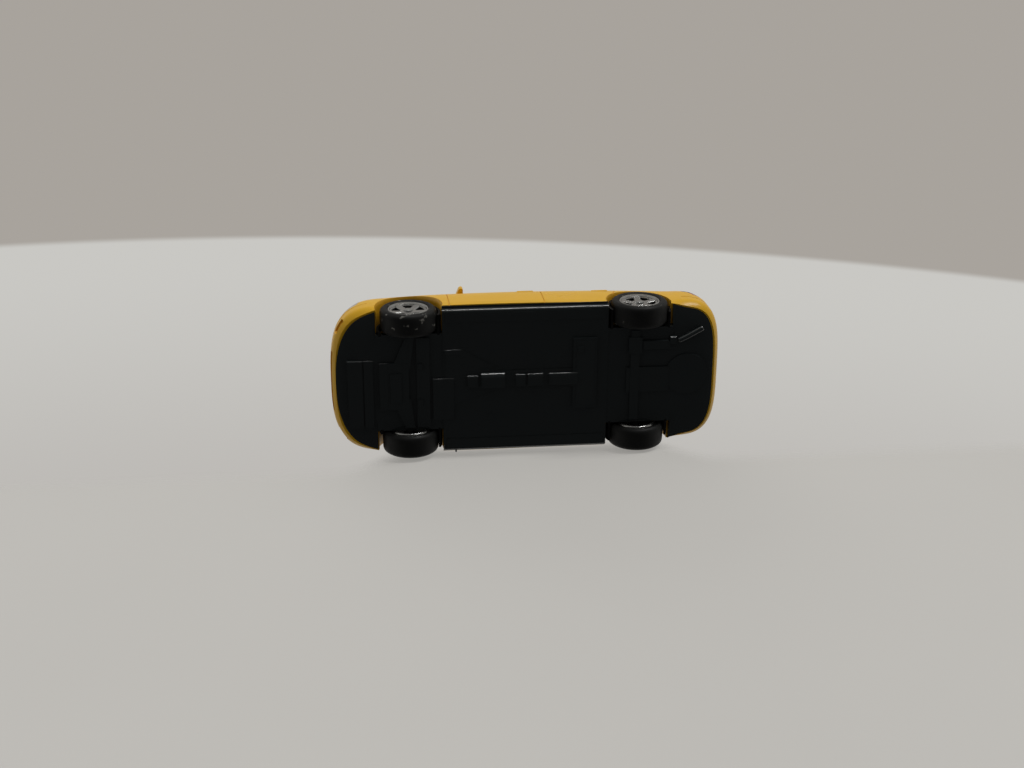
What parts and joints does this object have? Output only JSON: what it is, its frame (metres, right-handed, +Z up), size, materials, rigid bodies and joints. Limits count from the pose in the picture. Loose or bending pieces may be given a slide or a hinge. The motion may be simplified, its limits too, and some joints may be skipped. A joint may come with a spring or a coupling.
{
  "type": "model car",
  "caption": "Scale model saloon car: yellow shell on a black chassis with moulded running gear, clear windows, a dark interior and free-rolling wheels with silver spoked rims.",
  "frame": {"origin": "on the ground, midway between nose and tail, on the car's centre plane", "axes": "+X towards the car's left side, +Y from nose to tail, +Z up"},
  "size_m": [0.0198, 0.049, 0.0164],
  "materials": {
    "yellow_plastic": "satin",
    "black_plastic": "satin",
    "clear_plastic": "clear",
    "grey_plastic": "matte",
    "black_trim": "satin",
    "lamp_clear": "clear",
    "lamp_red": "clear",
    "silver_rim": "satin",
    "tyre_black": "satin",
    "steel_pin": "plain"
  },
  "bodies": {
    "car": {"body_shell": "yellow_plastic", "chassis": "black_plastic", "glazing": "clear_plastic", "interior_tub": "grey_plastic", "steering_wheel": "black_trim", "front_grille": "black_trim", "headlight_left": "lamp_clear", "tail_light_left": "lamp_red", "door_mirror_left": "yellow_plastic", "headlight_right": "lamp_clear", "tail_light_right": "lamp_red", "door_mirror_right": "yellow_plastic"},
    "front_wheelset": {"front_axle": "steel_pin", "front_left_rim": "silver_rim", "front_left_tyre": "tyre_black", "front_right_rim": "silver_rim", "front_right_tyre": "tyre_black"},
    "rear_wheelset": {"rear_axle": "steel_pin", "rear_left_rim": "silver_rim", "rear_left_tyre": "tyre_black", "rear_right_rim": "silver_rim", "rear_right_tyre": "tyre_black"}
  },
  "joints": [
    {"name": "front_axle_spin", "type": "hinge", "parent": "car", "child": "front_wheelset", "pos_m": [0, -0.01474, 0.00353], "axis": [1, 0, 0], "continuous": true},
    {"name": "rear_axle_spin", "type": "hinge", "parent": "car", "child": "rear_wheelset", "pos_m": [0, 0.01406, 0.00353], "axis": [1, 0, 0], "continuous": true}
  ]
}
